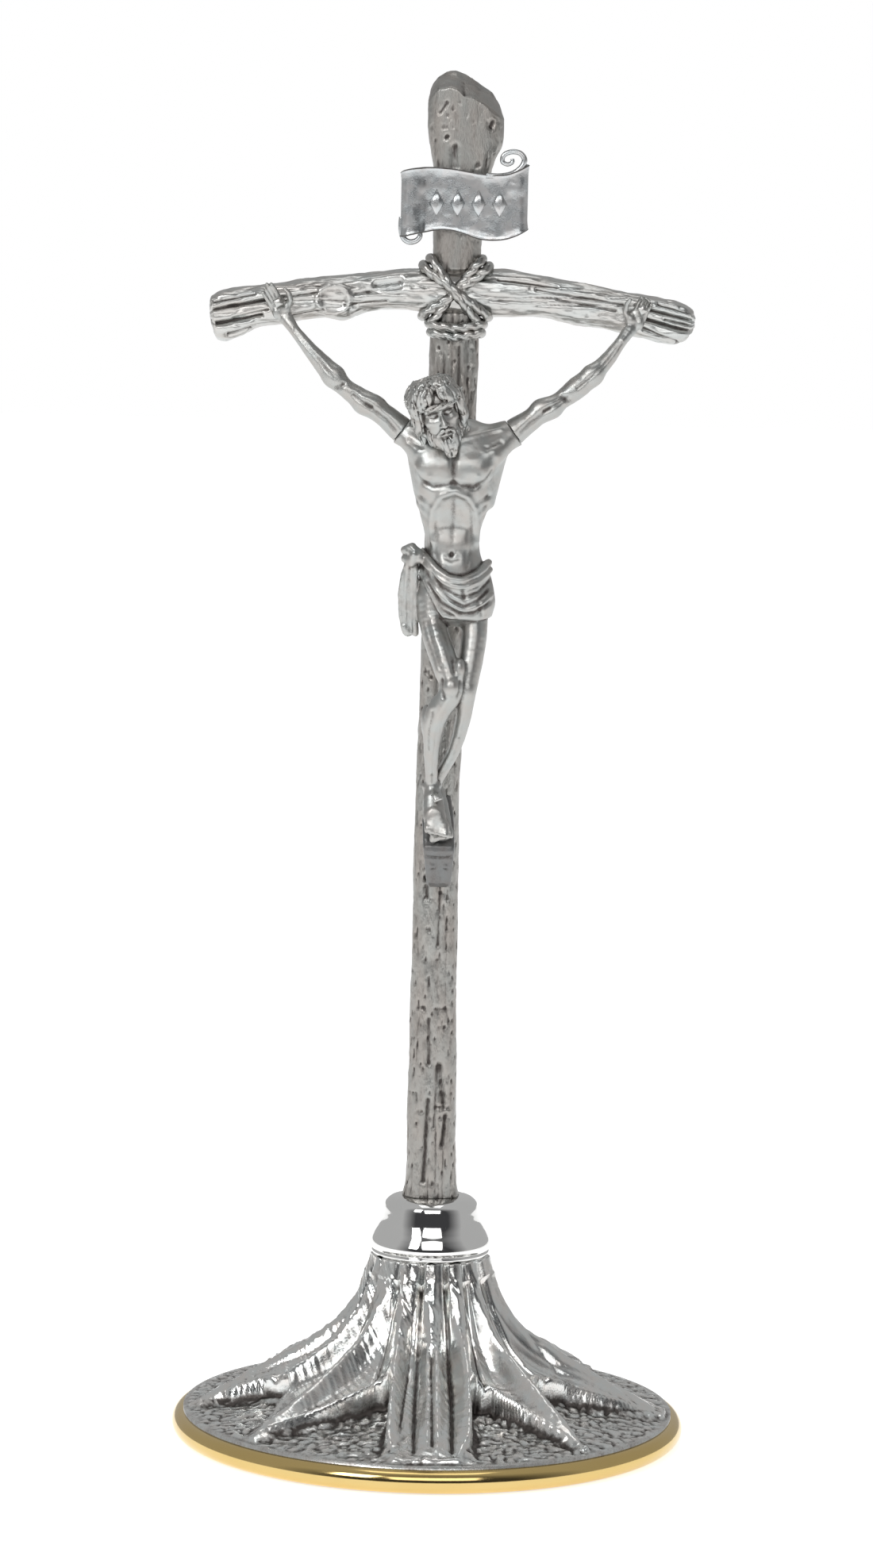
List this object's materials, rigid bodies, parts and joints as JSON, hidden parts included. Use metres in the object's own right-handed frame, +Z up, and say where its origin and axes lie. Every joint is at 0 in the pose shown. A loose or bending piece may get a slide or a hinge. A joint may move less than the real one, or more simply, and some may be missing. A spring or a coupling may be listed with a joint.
{
  "type": "altar cross",
  "caption": "Standing altar cross: two cast log-shaped bars lashed with rope, a title scroll, a cast figure and a round tree-root foot with a gilt rim.",
  "frame": {"origin": "on the resting surface, at the centre of the round felt under the base", "axes": "+Z up along the cross, front of the figure towards -Y, +X to the right when the figure is looked at"},
  "size_m": [0.151, 0.151, 0.4005],
  "materials": {
    "felt": "pressed wool felt, matt",
    "plate_steel": "plain sheet",
    "gilt_ring": "gilt and polished",
    "root_silver": "silver plated casting, dark in the hollows and bright on the ridges",
    "polished_silver": "mirror polished silver plate",
    "bark_silver": "silver plated casting with bark grooves, satin",
    "rope_silver": "antiqued silver plate",
    "scroll_silver": "antiqued silver plate, bright along its edges",
    "figure_silver": "polished silver plate, dark in the folds",
    "nail_silver": "antiqued silver plate",
    "steel": "plain turned steel"
  },
  "bodies": {
    "root": {"felt_pad": "felt", "cover_plate": "plate_steel", "rim_ring": "gilt_ring", "base_casting": "root_silver", "tie_rod": "steel", "tie_washer": "steel", "tie_nut": "steel", "collar": "polished_silver", "upright": "bark_silver", "crossbar": "bark_silver", "crossbar_screw": "steel", "lashing": "rope_silver", "title_scroll": "scroll_silver", "scroll_screws": "steel", "corpus": "figure_silver", "right_arm": "figure_silver", "left_arm": "figure_silver", "corpus_screws": "steel", "hand_nails": "nail_silver", "foot_block": "bark_silver", "foot_block_screw": "steel", "foot_nail": "nail_silver"}
  },
  "joints": []
}
